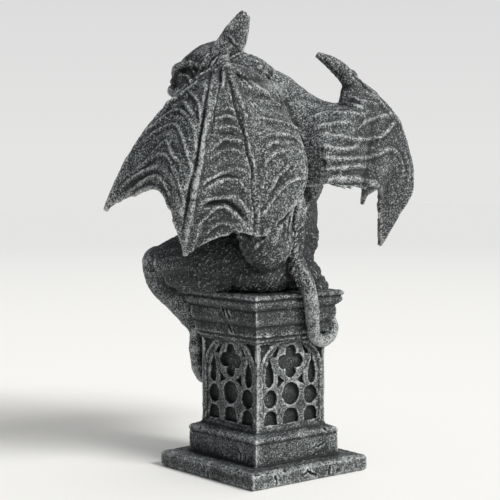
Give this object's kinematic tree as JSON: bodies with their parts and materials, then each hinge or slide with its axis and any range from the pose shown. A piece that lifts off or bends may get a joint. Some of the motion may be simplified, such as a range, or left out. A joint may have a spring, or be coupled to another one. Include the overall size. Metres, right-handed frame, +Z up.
{
  "type": "gargoyle figurine",
  "caption": "Cast resin figurine of a winged gargoyle crouching on a square gothic plinth, its tail hooked over the cap.",
  "frame": {"origin": "centre of the underside of the plinth's slab", "axes": "+Z up; the gargoyle faces -Y and its left side is +X; the tail hangs down the +Y side"},
  "size_m": [0.1951, 0.1051, 0.2641],
  "materials": {
    "resin": "dark grey cold-cast resin with a fine stone grain, dry-brushed pale grey on its ridges"
  },
  "bodies": {
    "root": {"gargoyle_on_plinth": "resin"}
  },
  "joints": []
}
